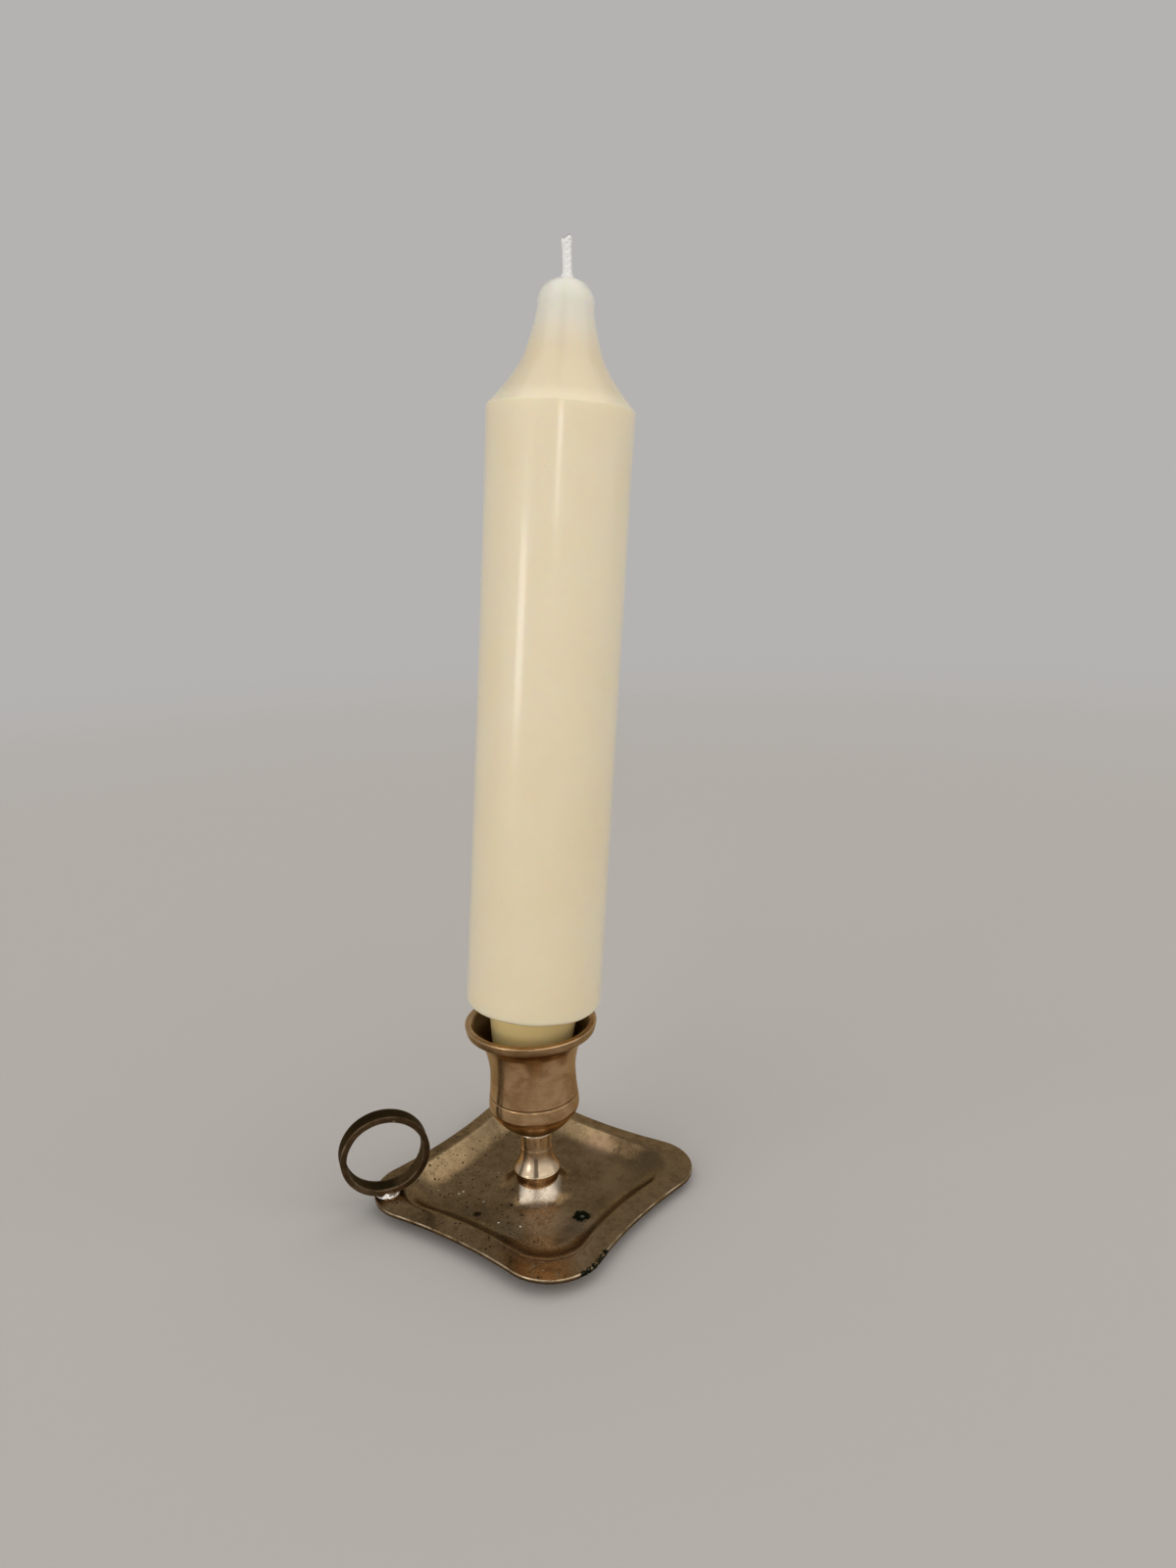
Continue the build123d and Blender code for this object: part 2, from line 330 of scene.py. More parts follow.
# Materials
class Tree:
    """A node tree that is being filled. Its helpers take values and links alike."""

    def __init__(self, owner):
        owner.use_nodes = True
        self.nodes, self.links = owner.node_tree.nodes, owner.node_tree.links
        self.nodes.clear()

    def add(self, kind, inputs=None, **settings):
        """Adds a shader node with its inputs and settings."""
        made = self.nodes.new("ShaderNode" + kind)
        for key, value in settings.items():
            setattr(made, key, value)
        self.fill(made, inputs or {})
        return made

    def fill(self, made, inputs):
        """Gives a node its inputs, each a value or a link."""
        for key, value in inputs.items():
            if isinstance(value, bpy.types.NodeSocket):
                self.links.new(value, made.inputs[key])
            else:
                made.inputs[key].default_value = value

    def maths(self, operation, first, second=0.0):
        """One sum on two values."""
        return self.add("Math", {0: first, 1: second}, operation=operation).outputs[0]

    def plus(self, first, second, share=1.0):
        """The first value and a share of the second. A share below 0 takes it away."""
        return self.add("Math", {0: second, 1: share, 2: first}, operation="MULTIPLY_ADD").outputs[0]

    def times(self, first, second):
        """The product of two values."""
        return self.maths("MULTIPLY", first, second)

    def most(self, first, second):
        """The greater of two values."""
        return self.maths("MAXIMUM", first, second)

    def blend(self, share, first, second):
        """Two colours mixed by a share."""
        return self.add("Mix", {0: share, 6: first, 7: second}, data_type="RGBA").outputs[2]

    def remap(self, value, low, high, new_low=0.0, new_high=1.0):
        """Maps a value smoothly from one range onto another."""
        inputs = {0: value, 1: low, 2: high, 3: new_low, 4: new_high}
        return self.add("MapRange", inputs, interpolation_type="SMOOTHSTEP").outputs[0]

    def vector(self, operation, first, second, output=0):
        """One sum on two vectors."""
        return self.add("VectorMath", {0: first, 1: second}, operation=operation).outputs[output]

    def split(self, vector):
        """The three parts of a vector."""
        return self.add("SeparateXYZ", {0: vector}).outputs


class Surface(Tree):
    """A material that is being made, with its shader, its colour and its point in millimetres."""

    def __init__(self, name):
        self.material = bpy.data.materials.new(name)
        super().__init__(self.material)
        self.shader = self.add("BsdfPrincipled")
        self.add("OutputMaterial", {0: self.shader.outputs[0]})
        point = self.add("TexCoord").outputs["Object"]
        self.place = self.add("VectorMath", {0: point, "Scale": 1 / mm}, operation="SCALE").outputs[0]
        self.colour = None

    def coat(self, share, tone):
        """Lays a tone over the colour by a share."""
        self.colour = self.blend(share, self.colour, tone)

    def painted(self, name):
        """A tone that is stored on the mesh."""
        return self.add("Attribute", attribute_name=name).outputs["Fac"]

    def grain(self, scale, detail=4.0, roughness=0.55, distortion=0.0, place=None):
        """Fractal noise of a given scale per millimetre."""
        inputs = {"Scale": scale, "Detail": detail, "Roughness": roughness, "Distortion": distortion}
        inputs["Vector"] = self.place if place is None else place
        return self.add("TexNoise", inputs).outputs[0]

    def spot(self, centre, radius, fade, wobble=0.0):
        """1 inside a ball at centre, fading to 0 outside, with an uneven edge."""
        away = self.vector("DISTANCE", self.place, centre, "Value")
        if wobble:
            away = self.plus(away, self.plus(self.grain(0.9, 3.0), -0.5), wobble)
        return self.remap(away, radius, radius + fade, 1.0, 0.0)

    def speckles(self, scale, size, share, seed):
        """Scattered round specks: 1 in a speck and 0 elsewhere. Only a share of the cells has one."""
        moved = self.vector("ADD", self.place, (seed, seed * 2.3, seed * 0.7))
        cells = self.add("TexVoronoi", {"Vector": moved, "Scale": scale})
        chance = self.add("SeparateColor", {0: cells.outputs["Color"]}).outputs[0]
        chosen = self.maths("LESS_THAN", chance, share)
        off_edge = self.plus(cells.outputs["Distance"], chance, -size / share)
        inside = self.remap(off_edge, -0.04, 0.04, 1.0, 0.0)
        return self.times(inside, chosen)

    def bump(self, height, strength, distance):
        """A bump normal from a height in the range 0 to 1."""
        inputs = {"Height": height, "Strength": strength, "Distance": distance * mm}
        return self.add("Bump", inputs).outputs[0]

    def done(self, inputs):
        """Gives the shader its colour and its other inputs, and returns the material."""
        self.fill(self.shader, {"Base Color": self.colour, **inputs})
        return self.material


# Tones that the brasses share, painted shade, painted reflections and painted highlights among them
blotch_tone = (0.07, 0.042, 0.022, 1)
painted_bend_shade_tone = (0.115, 0.078, 0.041, 1)
painted_golden_reflection_tone = (0.62, 0.44, 0.24, 1)
highlight_patch_tone = (0.76, 0.64, 0.51, 1)
pit_tone = (0.022, 0.016, 0.011, 1)
sheet_tint = (0.7, 0.62, 0.5, 1)
turned_shine_tone = (0.79, 0.665, 0.505, 1)
dark_reflection_tone = (0.17, 0.12, 0.075, 1)
turned_pit_tone = (0.03, 0.02, 0.012, 1)
turned_tint = (0.85, 0.72, 0.52, 1)


def aged_brass(name, dark, light, bright, under, roughness, pit_share, dish=False):
    """Tarnished sheet brass: mottled colour, dark pits, fine scratches and edges lightened by rubbing,
    with painted shade, painted reflections and painted highlights read from the mesh.
    """
    skin = Surface(name)
    broad = skin.grain(0.07, 5.0, 0.65, 0.6)
    middle = skin.grain(0.4, 4.0, 0.65)
    fine = skin.grain(2.6, 3.0, 0.75)
    mottle = skin.plus(skin.plus(skin.times(broad, 0.38), middle, 0.32), fine, 0.30)
    skin.colour = skin.blend(skin.remap(mottle, 0.38, 0.6), dark, light)
    blotches = skin.remap(skin.grain(0.3, 4.0, 0.7, 0.8), 0.56, 0.68)
    skin.coat(skin.times(blotches, 0.5), blotch_tone)

    def uneven(tone, least, greatest):
        """A painted tone, broken up by the middle grain between a least and a greatest strength."""
        return skin.times(skin.painted(tone), skin.remap(middle, 0.3, 0.6, least, greatest))

    # Painted shade in the bend of the dish
    skin.coat(uneven("painted_bend_shade", 0.42, 0.8), painted_bend_shade_tone)
    # Painted reflection on the back walls of the dish
    skin.coat(uneven("painted_golden_reflection", 0.75, 1.05), painted_golden_reflection_tone)
    # Edges lightened by rubbing, which also stands in for their highlights
    skin.coat(skin.remap(uneven("wear_and_highlight", 0.7, 1.15), 0.05, 0.9), bright)
    # Painted highlight in front of the foot
    shine = uneven("painted_highlight", 0.85, 1.0)
    skin.coat(shine, highlight_patch_tone)
    skin.coat(skin.painted("shaded"), under)

    pits = skin.most(skin.speckles(0.8, 0.36, pit_share, 3.1), skin.speckles(1.7, 0.34, pit_share, 11.0))
    if dish:
        fewer_to_the_right = skin.remap(skin.split(skin.place)[0], -6.0, 12.0, 1.0, 0.3)
        pits = skin.times(pits, fewer_to_the_right)
    pits = skin.times(pits, skin.plus(1.0, shine, -0.7))
    skin.coat(skin.times(pits, 0.85), pit_tone)

    long_way = skin.add("Mapping", {0: skin.place, "Rotation": (0, 0, 0.7), "Scale": (0.35, 5.0, 5.0)})
    cross_way = skin.add("Mapping", {0: skin.place, "Rotation": (0, 0, -0.9), "Scale": (4.2, 0.3, 4.2)})
    long_scratches = skin.grain(0.9, 2.0, place=long_way.outputs[0])
    scratches = skin.most(long_scratches, skin.grain(0.8, 2.0, place=cross_way.outputs[0]))
    skin.coat(skin.times(skin.remap(scratches, 0.66, 0.74), 0.25), bright)

    rough = skin.remap(mottle, 0.35, 0.62, roughness + 0.12, roughness - 0.03)
    rough = skin.plus(rough, skin.most(pits, blotches), 0.22)
    metallic = skin.plus(0.98, blotches, -0.15)
    if dish:
        rough, metallic = dish_marks(skin, rough, metallic)
    normal = skin.bump(skin.plus(skin.plus(fine, middle, 1.5), pits, -1.0), 0.3, 0.05)
    inputs = {"Roughness": rough, "Metallic": metallic, "Normal": normal, "Specular Tint": sheet_tint}
    return skin.done(inputs)


# The dish's own marks, and one painted highlight
stain_centre, stain_tone = (-0.7, -17.0, 1.2), (0.37, 0.265, 0.165, 1)
brown_spots = (((-18.7, -10.2, 1.2), 0.9), ((-8.7, -8.2, 1.6), 0.35), ((-6.1, -13.4, 1.2), 0.3))
brown_spot_tone = (0.03, 0.018, 0.01, 1)
mark_centre, mark_tone = (10.9, -17.4, 1.2), (0.006, 0.009, 0.006, 1)
mark_eye_centre, mark_eye_tone = (11.0, -17.5, 1.2), (0.16, 0.17, 0.13, 1)
crust_spots, crust_level, crust_tone = 6, 4.6, (0.010, 0.013, 0.008, 1)
pink_highlight_centre, pink_highlight_tone = (21.5, 15.5, 3.0), (0.42, 0.27, 0.17, 1)
fleck_tone = (0.70, 0.65, 0.54, 1)
fleck_centres = (
    (-23.4, 0.6, 1.2), (-22.0, 1.4, 1.2), (-16.5, -4.8, 1.2), (-17.3, -15.5, 1.2), (-10.5, -30.8, 2.0),
    (-2.3, -33.9, 3.2), (14.3, -39.4, 4.9), (-13.0, -15.5, 1.2), (-7.0, -18.5, 1.2),
)


def dish_marks(skin, rough, metallic):
    """A brown stain and spots, a dark mark, crust on the rim, a painted pink highlight and flecks of wax.
    """
    stain = skin.spot(stain_centre, 4.0, 6.0, 8.0)
    stain = skin.times(stain, skin.remap(skin.grain(0.9, 4.0, 0.7), 0.35, 0.6, 0.2, 0.9))
    skin.coat(stain, stain_tone)
    rough = skin.plus(rough, stain, 0.15)
    metallic = skin.plus(metallic, stain, -0.45)
    for centre, size in brown_spots:
        skin.coat(skin.spot(centre, size, 0.5, 1.2), brown_spot_tone)

    mark = skin.spot(mark_centre, 2.2, 0.6, 3.4)
    skin.coat(mark, mark_tone)
    skin.coat(skin.spot(mark_eye_centre, 0.2, 0.6, 0.9), mark_eye_tone)

    crust = 0.0
    for part in range(crust_spots):
        share = part / (crust_spots - 1)
        turn = radians(crust_turns[0] + (crust_turns[1] - crust_turns[0]) * share)
        centre = polar(tray_reach(turn), turn, crust_level)
        crust = skin.most(crust, skin.spot(centre, 0.85, 0.5, 1.4))
    crust = skin.times(crust, skin.remap(skin.grain(1.6, 3.0), 0.36, 0.42))
    skin.coat(crust, crust_tone)
    # Painted pinkish highlight on the back-right wall
    skin.coat(skin.times(skin.spot(pink_highlight_centre, 2.5, 5.0, 4.0), 0.5), pink_highlight_tone)

    fewer_to_the_right = skin.remap(skin.split(skin.place)[0], -8.0, 4.0, 1.0, 0.1)
    flecks = skin.times(skin.speckles(0.7, 0.12, 0.2, 21.0), fewer_to_the_right)
    for centre in fleck_centres:
        flecks = skin.most(flecks, skin.spot(centre, 0.16, 0.26, 0.7))
    skin.coat(flecks, fleck_tone)
    rough = skin.most(rough, skin.times(skin.most(mark, crust), 0.6))
    return rough, skin.times(metallic, skin.plus(1.0, flecks, -1.0))


def turned_brass(name, dark, light, bright, inner_dark, roughness):
    """Brass turned on a lathe: fine rings round the axis and a warm, tarnished colour, with edges
    lightened by rubbing, painted highlights, painted shade and a painted dark reflection read from the
    mesh.
    """
    skin = Surface(name)
    x, y, z = skin.split(skin.place)
    away = skin.maths("SQRT", skin.plus(skin.times(x, x), y, y))
    along = skin.add("CombineXYZ", {0: away, 1: z}).outputs[0]
    rings = skin.grain(3.2, 3.0, 0.75, place=along)
    fine_rings = skin.grain(14.0, 2.0, 0.7, place=along)
    broad = skin.grain(0.12, 4.0, 0.6, 0.5)
    fine = skin.grain(3.0, 3.0, 0.7)
    mottle = skin.plus(skin.plus(skin.times(broad, 0.6), rings, 0.25), fine, 0.15)
    skin.colour = skin.blend(skin.remap(mottle, 0.38, 0.6), dark, light)
    # Edges lightened by rubbing, which also stands in for their highlights, and a painted highlight on
    # the bulge
    skin.coat(skin.remap(skin.painted("wear_and_highlight"), 0.2, 0.9), bright)
    # Painted highlight on the flare and the neck
    skin.coat(skin.painted("painted_highlight"), turned_shine_tone)
    shade = skin.painted("shaded")
    skin.coat(shade, inner_dark)
    # Painted dark reflection down the front of the flare
    dark_reflection = skin.times(skin.painted("dark_reflection"), skin.remap(fine, 0.3, 0.6, 0.75, 1.0))
    skin.coat(dark_reflection, dark_reflection_tone)
    pits = skin.speckles(1.4, 0.26, 0.07, 5.0)
    skin.coat(skin.times(pits, 0.7), turned_pit_tone)
    rough = skin.remap(mottle, 0.36, 0.62, roughness + 0.07, roughness - 0.05)
    rough = skin.plus(rough, skin.most(shade, dark_reflection), 0.2)
    relief = skin.plus(skin.plus(skin.times(rings, 0.6), fine_rings, 0.5), pits, -1.0)
    normal = skin.bump(relief, 0.22, 0.03)
    inputs = {"Roughness": rough, "Metallic": 1.0, "Normal": normal, "Specular Tint": turned_tint}
    return skin.done(inputs)


# Painted shade in the solder's hollow beside the ring's foot
solder_gap_centre, solder_gap_shade_tone = (-45.1, -2.0, 5.4), (0.05, 0.035, 0.03, 1)
solder_flux, solder_bright = (0.16, 0.135, 0.115, 1), (0.93, 0.90, 0.87, 1)


def solder_metal():
    """Bright soft solder, lumpy, with dark flux in its hollows and painted shade in the one beside the
    ring's foot.
    """
    skin = Surface("solder")
    lumps = skin.grain(1.3, 4.0, 0.6)
    skin.colour = skin.blend(skin.remap(lumps, 0.3, 0.42), solder_flux, solder_bright)
    # Painted shade in the hollow beside the ring's foot
    skin.coat(skin.spot(solder_gap_centre, 0.7, 0.5, 0.8), solder_gap_shade_tone)
    rough = skin.remap(lumps, 0.35, 0.6, 0.55, 0.3)
    return skin.done({"Roughness": rough, "Metallic": 1.0, "Normal": skin.bump(lumps, 0.5, 0.2)})


ivory, deep_ivory = (0.90, 0.79, 0.575, 1), (0.89, 0.765, 0.53, 1)
bell_tone, tip_tone, peg_tone = (0.81, 0.69, 0.48, 1), (0.82, 0.80, 0.71, 1), (0.96, 0.71, 0.33, 1)
wax_speck_tone = (0.2, 0.13, 0.07, 1)


def wax():
    """Ivory wax that light passes into: deeper in tone on the bell and the peg, paler at the tip."""
    skin = Surface("wax")
    from_foot = skin.vector("SUBTRACT", skin.place, candle_foot)
    height = skin.vector("DOT_PRODUCT", from_foot, lean_axis, "Value")
    shoulder = candle_body_length
    skin.colour = skin.blend(skin.remap(skin.grain(0.05, 3.0, 0.5), 0.3, 0.7), ivory, deep_ivory)
    skin.coat(skin.remap(height, shoulder, shoulder + 4.0), bell_tone)
    skin.coat(skin.remap(height, shoulder + 10.0, shoulder + 27.0), tip_tone)
    skin.coat(skin.remap(height, -0.5, -2.0), peg_tone)
    skin.coat(skin.times(skin.speckles(0.25, 0.035, 0.12, 8.0), 0.5), wax_speck_tone)
    relief = skin.plus(skin.grain(0.12, 2.0), skin.grain(1.8, 3.0), 0.12)
    return skin.done(
        {
            "Roughness": skin.remap(skin.grain(0.5, 4.0, 0.6), 0.3, 0.7, 0.28, 0.42),
            "Normal": skin.bump(relief, 0.25, 0.25),
            "Subsurface Weight": 0.6,
            "Subsurface Radius": (1.0, 0.62, 0.28),
            "Subsurface Scale": 5 * mm,
            "IOR": 1.44,
            "Coat Weight": 0.7,
            "Coat Roughness": 0.14,
            "Coat IOR": 1.45,
        }
    )


yarn_shade, yarn_light = (0.88, 0.86, 0.84, 1), (0.97, 0.96, 0.96, 1)
singed_tone = (0.03, 0.025, 0.022, 1)


def cotton():
    """Cotton yarn with fine fibres, singed at its end."""
    skin = Surface("cotton")
    fibres = skin.grain(9.0, 4.0, 0.7)
    skin.colour = skin.blend(skin.remap(fibres, 0.35, 0.65), yarn_shade, yarn_light)
    skin.coat(skin.painted("singed"), singed_tone)
    normal = skin.bump(fibres, 0.3, 0.04)
    return skin.done({"Roughness": 0.9, "Specular IOR Level": 0.2, "Normal": normal})


tray_brass = aged_brass(
    "tray_brass",
    dark=(0.143, 0.089, 0.043, 1),
    light=(0.335, 0.215, 0.108, 1),
    bright=(0.60, 0.48, 0.33, 1),
    under=(0.05, 0.032, 0.018, 1),
    roughness=0.2,
    pit_share=0.4,
    dish=True,
)
cup_brass = turned_brass(
    "turned_brass",
    dark=(0.355, 0.208, 0.097, 1),
    light=(0.575, 0.372, 0.198, 1),
    bright=(0.64, 0.52, 0.35, 1),
    inner_dark=(0.075, 0.044, 0.02, 1),
    roughness=0.22,
)
ring_brass = aged_brass(
    "dark_brass",
    dark=(0.055, 0.034, 0.017, 1),
    light=(0.115, 0.071, 0.036, 1),
    bright=(0.26, 0.19, 0.12, 1),
    under=(0.014, 0.009, 0.004, 1),
    roughness=0.42,
    pit_share=0.12,
)
screw_brass = turned_brass(
    "screw_brass",
    dark=(0.22, 0.17, 0.09, 1),
    light=(0.36, 0.28, 0.15, 1),
    bright=(0.7, 0.55, 0.3, 1),
    inner_dark=(0.08, 0.06, 0.04, 1),
    roughness=0.35,
)
solder = solder_metal()
ivory_wax = wax()
cotton_yarn = cotton()


# Drip tray
def rim_reach(turn):
    """Width of the rim at an angle: the two back sides roll into the dish a little earlier."""
    return rim_width + (back_rim_width - rim_width) * rising(sin(turn), 0.05, 0.5)


def tray_level(share, away, rim_inset):
    """Height of the tray's upper side at a share of its reach and a distance from the axis."""
    inset = (1 - share) * tray_side_reach
    rim = rim_edge_height + rim_rise * min(inset / rim_inset, 1.0)
    depth = rim_edge_height + rim_rise - tray_metal
    front = (rim_inset - back_rim_width) / (rim_width - back_rim_width)
    bends = (dish_wall_bends[0] + front_bend_gain * front, dish_wall_bends[1])
    wall = depth * ramped((inset - rim_inset + front_wall_shift * front) / dish_wall_width, bends)
    dome = 1 - ramped((away - dome_flat_radius) / (dome_radius - dome_flat_radius), dome_bends)
    return rim - wall + (seat_level - tray_metal) * dome


def tray_warp(point, share):
    """Bends of use: the rim tilts up at the ring and at the front, over a floor that stays flat."""
    away = rising(share, 0.55, 0.32)
    bend = tray_tilt_shares[0] * point.x + tray_tilt_shares[1] * point.y
    wave = noise.noise(Vector((point.x, point.y, 3.0)) * 0.05) * tray_wave
    height = max(point.z + (bend + wave) * away, floor_gap)
    return Vector((point.x + tray_shift * away, point.y, height))


def crust_lump(turn, level):
    """How far the crust on the rim's edge stands out, in millimetres."""
    turn = degrees(turn) - 360
    on_crust = rising(turn, crust_turns[0], 1.5) * falling(turn, crust_turns[1], 1.5)
    lump = noise.noise(Vector((turn * 0.9, level * 1.2, 2.0))) + 0.35
    return on_crust * max(lump, 0.0) * crust_lump_height


def tray_profile():
    """Rows over the tray, round its rolled edge and back below: share of reach, drop and edge: rubbing
    with its painted highlight where positive, painted shade under the edge where negative.
    """
    top_shares = [0.05 + 0.95 * i / tray_rows for i in range(tray_rows + 1)]
    edge_share = edge_rounding / tray_corner_reach
    inner = [share for share in top_shares if share <= 1 - edge_share]
    profile = [(share, 0.0, rising(share, 0.993, 0.004)) for share in inner]
    for away, up in arc((0.0, -edge_rounding), edge_rounding, 90, 0, 5):
        arris_wear_and_highlight = 1.0 if up > -edge_rounding * 0.8 else 0.3
        profile.append((1 - edge_share + away / tray_corner_reach, up, arris_wear_and_highlight))
    for away, up in arc((0.0, edge_rounding - tray_metal), edge_rounding, 0, -90, 5):
        profile.append((1 - edge_share + away / tray_corner_reach, up, -1.0))
    return profile + [(share, -tray_metal, 0.0) for share in reversed(inner)]


def tray_tones(point, away, inset, edge, upper):
    """The tray's tones at a point. Inset counts inwards from the rim's inner edge."""
    # Edges lightened by rubbing, which also stands in for their highlights, and painted shade under the
    # edge
    edge_wear_and_highlight = edge * (0.45 + 0.9 * noise.noise(Vector((point.x * 0.25, point.y * 0.25, 7.0))))
    tones = {"wear_and_highlight": max(edge_wear_and_highlight, 0.0), "shaded": max(-edge, 0.0)}
    tones.update({"painted_bend_shade": 0.0, "painted_golden_reflection": 0.0, "painted_highlight": 0.0})
    if not upper:
        return tones
    off_middle = abs(point.x)
    if edge == 0.0:
        # Painted highlight on the front of the rim near its corner
        front_rim_highlight = falling(off_middle, 6.0, 6.0) * falling(point.y, -32.0, 4.0)
        tones["wear_and_highlight"] = max(edge_wear_and_highlight, 0.3 * front_rim_highlight * falling(inset, -0.9, 1.5), 0.0)

    # Painted shade in the bend from the rim into the dish, less of it at the front corner, and more along
    # the right side
    in_bend = rising(inset, -0.8, 2.0) * falling(inset, 1.5, 14.0)
    near = falling(point.y, -6.0, 10.0) * (1 - 0.55 * falling(off_middle, 6.0, 8.0))
    near *= 1 - 0.3 * rising(point.x, 0.0, 8.0)
    tones["painted_bend_shade"] = in_bend * max(near, 0.75 * rising(point.x, 25.0, 4.0))

    # Painted reflection on the back walls, lighter and more yellow, where they face the bright room
    on_wall = rising(inset, -0.8, 1.5) * falling(inset, 1.5, 7.5)
    behind = rising(point.y, 3.0, 6.0) * falling(point.x, 24.0, 3.0)
    tones["painted_golden_reflection"] = on_wall * behind * (0.6 - 0.03 * rising(point.x, -4.0, 12.0))

    # Painted highlight: a pale patch in front of the foot where the dome faces the light, and a little on
    # the front wall
    if point.y < 0:
        side = 0.987 * point.x - 0.16 * point.y
        in_front = rising(side, -5.3, 1.1) * falling(side, 5.0, 3.2)
        patch = in_front * falling(away + 0.04 * side**2, 9.7, 2.6)
        on_front_wall = falling(point.y, -21.0, 8.0) * falling(off_middle, 10.0, 8.0)
        on_front_wall *= rising(inset, -3.0, 3.0) * falling(inset, 8.0, 8.0)
        tones["painted_highlight"] = max(patch, 0.09 * on_front_wall)
    return tones


def make_tray():
    """The dished tray: upper side, rolled edge and underside on one polar grid."""
    profile = tray_profile()
    points, tones = [], []
    for share, drop, edge in profile:
        for turn in around(tray_columns):
            away = max(share * tray_reach(turn), tray_hole_radius)
            rim_inset = rim_reach(turn)
            level = tray_level(min(share, 1.0), away, rim_inset) + drop
            reach = away + crust_lump(turn, level) * rising(share, 0.985, 0.01)
            point = tray_warp(polar(reach, turn, level), share)
            inset = (1 - share) * tray_side_reach - rim_inset
            points.append(point)
            tones.append(tray_tones(point, away, inset, edge, drop > -edge_rounding))
    faces = grid_faces(len(profile), tray_columns, True)
    tray = mesh_piece("drip_tray_dressed", points, faces, "holder", "tray_brass", "drip_tray", tray_brass)
    paint(tray, tones)


# Stem
def stem_profile():
    """Foot band, flare, waisted neck and collar."""
    band_top = (foot_radius, seat_level + foot_band_height)
    neck_base = (neck_radius, seat_level + neck_height)
    neck_end = (neck_top_radius, socket_level - collar_height)
    profile = [(0.0, seat_level), (foot_base_radius - 0.15, seat_level)]
    profile += [(foot_base_radius, seat_level + 0.15)]
    band = foot_band_height - foot_rounding
    taper = foot_radius - foot_base_radius
    profile += [(foot_base_radius + taper * k / 8, seat_level + band * k / 8) for k in range(1, 9)]
    edge_centre = (foot_radius - foot_rounding, band_top[1] - foot_rounding)
    profile += arc(edge_centre, foot_rounding, 0, 50, 5)[1:]
    up_the_flare = ([neck_base] + flare(neck_base, band_top, 40))[::-1]
    profile += [p for p in up_the_flare if p[0] < foot_radius - foot_rounding * 0.45]
    profile += hermite(neck_base, neck_end, (-0.6, 2.5), (1.2, 2.5), 16)
    profile += [(neck_end[0] + 0.05, neck_end[1] + 0.02), (collar_radius - 0.2, neck_end[1])]
    bead = collar_height / 2
    profile += arc((collar_radius - bead, socket_level - bead), bead, -80, 80, 12)
    return profile + [(0.0, socket_level)]


def stem_tones(radius, height, turn):
    """Edges lightened by rubbing that also stand in for their highlights, a painted highlight above the
    foot band, and a painted dark reflection down the flare.
    """
    above_seat = height - seat_level
    on_band_edge = abs(above_seat - foot_band_height) < 0.25
    on_collar = radius > collar_radius - 0.15 and height > socket_level - collar_height
    on_flare = rising(above_seat, foot_band_height - 0.2, 0.4) * falling(above_seat, 8.0, 2.5)
    off_dark_reflection = radians(abs((degrees(turn) - dark_reflection_turn + 180) % 360 - 180)) * radius
    # Painted highlight above the foot band, and little of it on the band
    highlight_strength = 0.55 + 0.4 * rising(above_seat, 7.5, 3.0)
    return {
        "wear_and_highlight": 0.9 if on_band_edge else 0.25 if on_collar else 0.0,
        "painted_highlight": highlight_strength if above_seat > foot_band_height else 0.12,
        "dark_reflection": on_flare * falling(off_dark_reflection, dark_reflection_half_width, 0.35),
    }


def make_stem():
    """The turned stem that stands on the tray and carries the cup."""
    profile = stem_profile()
    dressing = ("holder", "turned_brass", "stem", cup_brass)
    stem = turned_piece("stem_dressed", profile, stem_columns, stem_place, *dressing)
    turns = around(stem_columns)
    paint(stem, [stem_tones(radius, height, turn) for radius, height in profile for turn in turns])


# Candle socket
def socket_profile():
    """Outside: bowl, groove, waist, flare and lip. Inside: throat, bore and floor."""
    base = socket_level
    outer = [(0.0, base), (socket_base_radius - 0.3, base), (socket_base_radius, base + 0.12)]
    knee = (knee_radius, base + knee_height)
    bulge = (bulge_radius, base + bulge_height)
    outer += hermite(outer[-1], knee, (3.4, 2.6), (3.4, 4.2), 18)
    outer += hermite(knee, bulge, (3.4, 4.2), (0.0, 4.6), 22)
    groove_low = (groove_radius + 0.02, base + groove_height - groove_half_width)
    groove_high = (groove_radius - 0.02, base + groove_height + groove_half_width)
    outer += hermite(bulge, groove_low, (0.0, 3.6), (-0.45, 3.0), 12)
    outer += [(groove_radius - groove_depth, base + groove_height), groove_high]
    waist = (waist_radius, lip_level - waist_depth)
    flare_start = (flare_radius, lip_level - flare_depth)
    outer += hermite(groove_high, waist, (-0.6, 5.0), (0.0, 7.0), 20)
    outer += hermite(waist, flare_start, (0.0, 8.0), (2.0, 6.0), 24)
    band_bottom = (lip_radius - lip_band_taper, lip_level - lip_band_height)
    outer += hermite(flare_start, (band_bottom[0] - 0.15, band_bottom[1]), (1.4, 4.6), (6.5, 2.6), 30)
    outer += [band_bottom, (band_bottom[0] + 0.08, band_bottom[1] + 0.12)]
    outer += arc((lip_radius - lip_rounding, lip_level - lip_rounding), lip_rounding, 0, 90, 8)

    face_edge = lip_radius - lip_face_width
    throat = (bore_radius, lip_level - throat_depth)
    inner = [(face_edge + 0.25, lip_level), (face_edge + 0.05, lip_level - 0.12)]
    inner += ([throat] + flare(throat, (face_edge - 0.05, lip_level - 0.3), 30))[::-1]
    floor = base + bore_floor_height
    bore_length = throat[1] - floor - bore_floor_rounding
    inner += [(bore_radius, throat[1] - bore_length * i / 12) for i in range(1, 12)]
    corner = (bore_radius - bore_floor_rounding, floor + bore_floor_rounding)
    inner += arc(corner, bore_floor_rounding, 0, -90, 10)
    inner += [(4.0, floor), (0.0, floor)]
    return outer, inner


